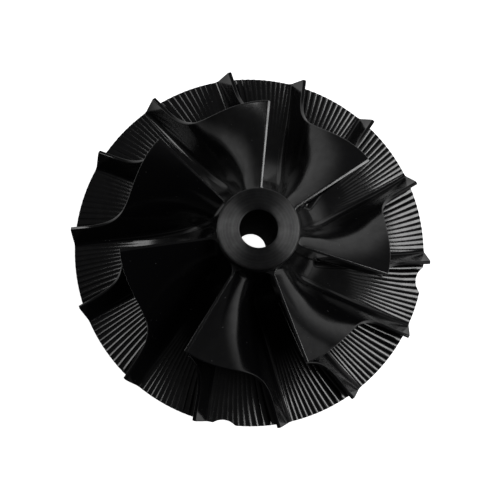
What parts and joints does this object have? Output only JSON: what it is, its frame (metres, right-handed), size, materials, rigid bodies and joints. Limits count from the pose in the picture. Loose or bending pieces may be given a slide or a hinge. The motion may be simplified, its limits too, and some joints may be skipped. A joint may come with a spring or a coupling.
{
  "type": "blower wheel",
  "caption": "Radial blower wheel milled from black anodised aluminium, with full and splitter blades around a bored hub on a back disc.",
  "frame": {"origin": "centre of the rear boss face, on the bore axis", "axes": "+Z along the bore towards the nose and the air inlet; seen from the inlet the wheel turns clockwise"},
  "size_m": [0.114, 0.114, 0.046],
  "materials": {
    "nose": "black anodised over a turned face",
    "hub": "black anodised over a milled surface",
    "disc": "black anodised over a milled and turned surface",
    "full_blades": "black anodised over a milled surface",
    "splitter_blades": "black anodised over a milled surface"
  },
  "bodies": {
    "root": {"back_disc": "disc", "full_blade_1": "full_blades", "full_blade_2": "full_blades", "full_blade_3": "full_blades", "full_blade_4": "full_blades", "full_blade_5": "full_blades", "full_blade_6": "full_blades", "full_blade_7": "full_blades", "hub_barrel": "hub", "hub_flare": "hub", "nose_collar": "nose", "rear_boss": "disc", "splitter_blade_1": "splitter_blades", "splitter_blade_2": "splitter_blades", "splitter_blade_3": "splitter_blades", "splitter_blade_4": "splitter_blades", "splitter_blade_5": "splitter_blades", "splitter_blade_6": "splitter_blades", "splitter_blade_7": "splitter_blades"}
  },
  "joints": []
}
